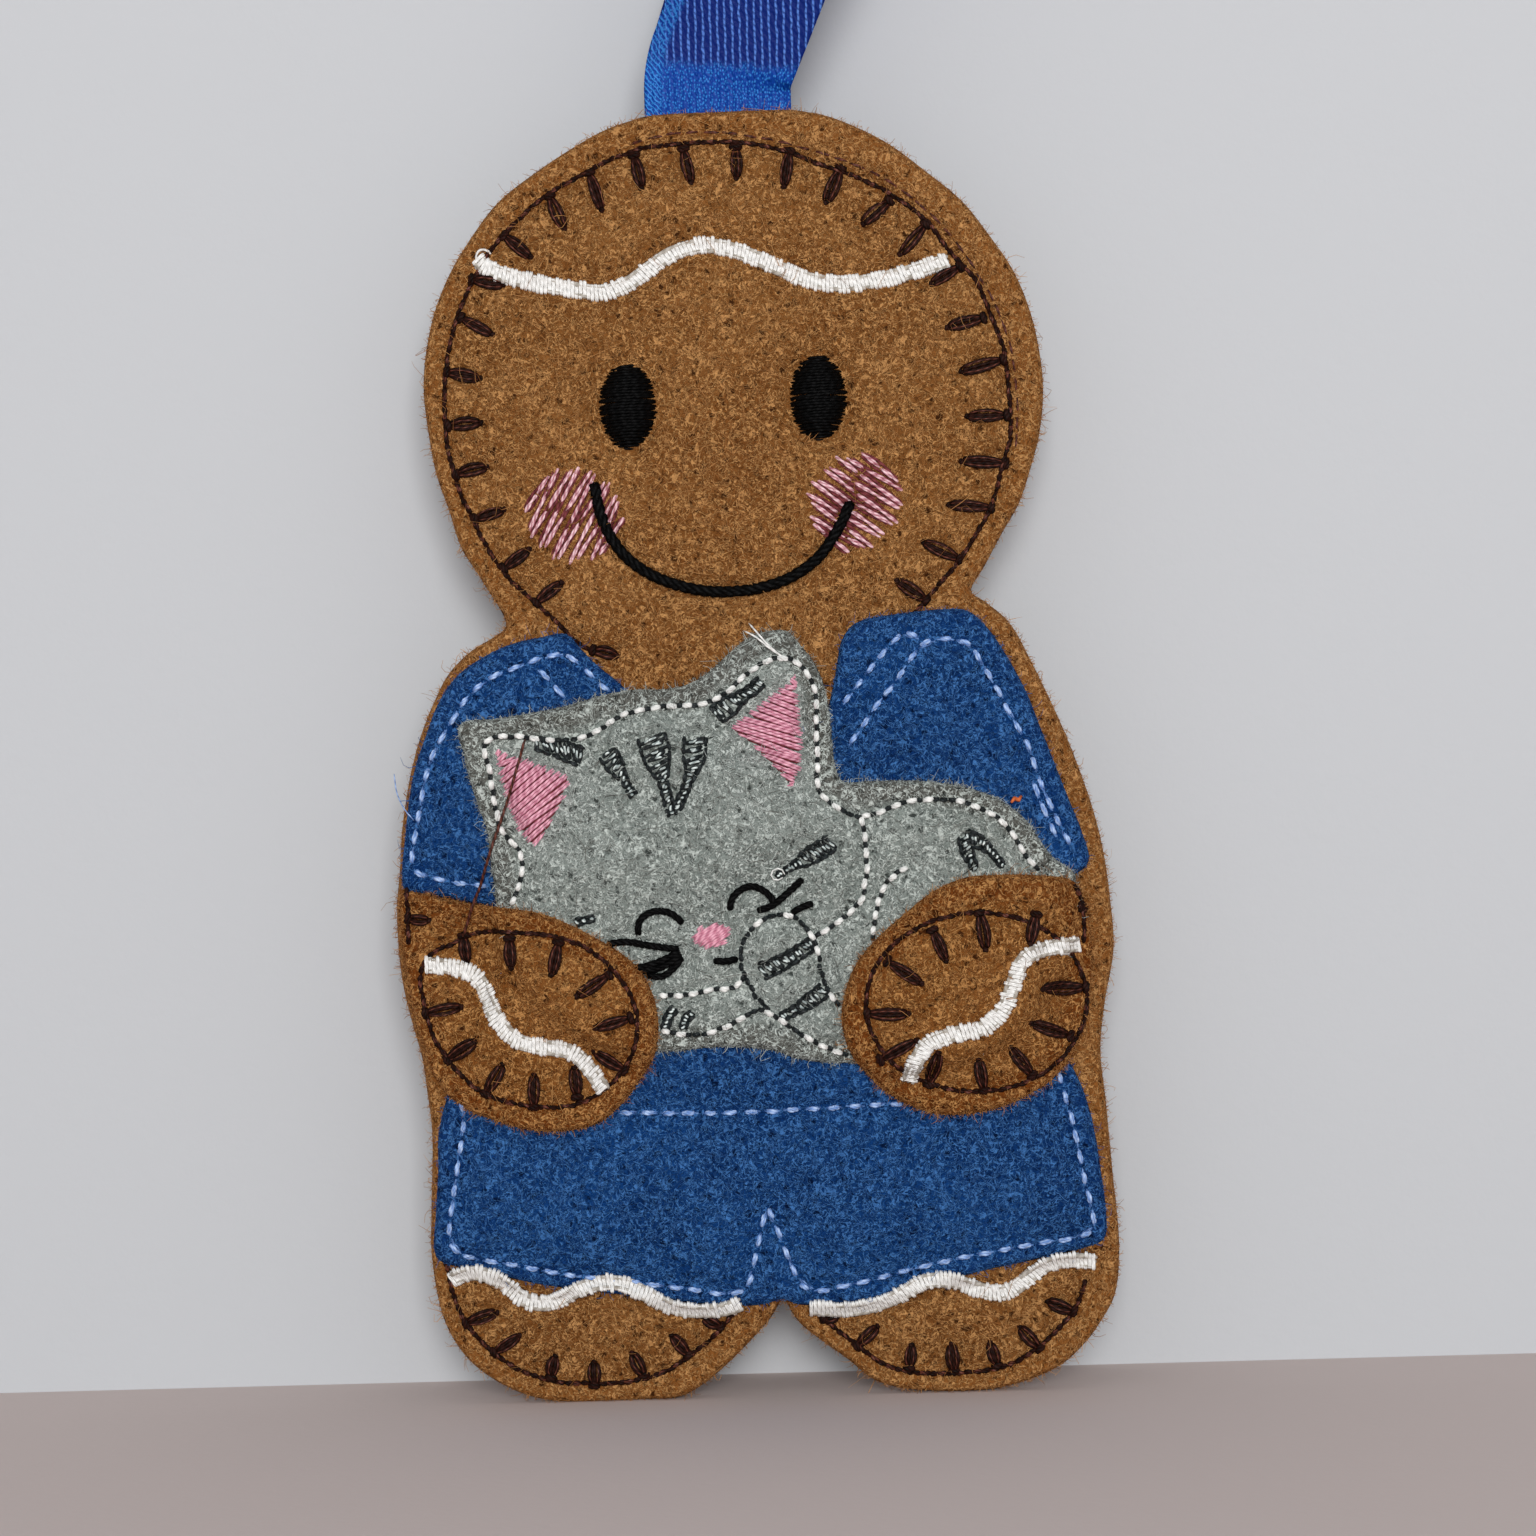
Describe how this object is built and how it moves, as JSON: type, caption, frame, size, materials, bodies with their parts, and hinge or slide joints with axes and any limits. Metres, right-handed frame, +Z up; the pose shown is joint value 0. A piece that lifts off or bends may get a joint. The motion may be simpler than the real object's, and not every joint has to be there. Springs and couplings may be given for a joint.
{
  "type": "felt figure ornament",
  "caption": "Flat felt gingerbread figure in blue clothes that holds a sleeping grey cat, with stitched borders and icing, hung from a satin ribbon loop.",
  "frame": {"origin": "the top of the inside of the ribbon loop, where a hook or branch holds the ornament", "axes": "+Z up, along the figure from its feet to the loop; +X to the viewer's right; the embroidered front faces -Y"},
  "size_m": [0.0731, 0.0246, 0.1977],
  "materials": {
    "brown_felt": "brown wool-blend felt, short curly fibres, matt",
    "blue_felt": "blue felt, matt",
    "grey_felt": "grey felt, matt",
    "blue_satin": "blue woven ribbon, satin sheen with fine lengthwise ribs",
    "brown_thread": "dark brown embroidery thread, soft sheen",
    "white_thread": "white embroidery thread, satin stitched",
    "black_thread": "black embroidery thread, soft sheen",
    "pink_thread": "pink embroidery thread, soft sheen",
    "pale_blue_thread": "pale blue embroidery thread, bean stitched"
  },
  "bodies": {
    "ribbon": {"ribbon_loop": "blue_satin"},
    "doll": {"back_felt": "brown_felt", "front_felt": "brown_felt", "clothes_felt": "blue_felt", "cat_felt": "grey_felt", "left_hand_felt": "brown_felt", "right_hand_felt": "brown_felt", "ribbon_tail_front": "blue_satin", "ribbon_tail_back": "blue_satin", "head_blanket_stitch": "brown_thread", "left_foot_blanket_stitch": "brown_thread", "right_foot_blanket_stitch": "brown_thread", "left_hand_blanket_stitch": "brown_thread", "right_hand_blanket_stitch": "brown_thread", "forehead_icing": "white_thread", "left_foot_icing": "white_thread", "right_foot_icing": "white_thread", "left_hand_icing": "white_thread", "right_hand_icing": "white_thread", "left_eye": "black_thread", "right_eye": "black_thread", "smile": "black_thread", "left_cheek": "pink_thread", "right_cheek": "pink_thread", "shorts_stitch": "pale_blue_thread", "left_sleeve_stitch": "pale_blue_thread", "right_sleeve_stitch": "pale_blue_thread", "left_strap_stitch": "pale_blue_thread", "right_strap_stitch": "pale_blue_thread", "waist_stitch": "pale_blue_thread", "cat_outline_stitch": "white_thread", "cat_leg_stitch": "white_thread", "cat_left_ear": "pink_thread", "cat_right_ear": "pink_thread", "cat_nose": "pink_thread", "cat_left_eyelid": "black_thread", "cat_right_eyelid": "black_thread", "cat_mouth": "black_thread", "cat_stripe_left": "black_thread", "cat_stripe_middle": "black_thread", "cat_stripe_right": "black_thread", "cat_stripe_left_ear": "black_thread", "cat_stripe_right_ear": "black_thread", "cat_stripe_cheek": "black_thread", "cat_stripe_back": "black_thread"}
  },
  "joints": [
    {"name": "ribbon_swing", "type": "hinge", "parent": "ribbon", "child": "doll", "pos_m": [-0.02215, 0, -0.06216], "axis": [1, 0, 0], "range_deg": [-90, 90]}
  ]
}
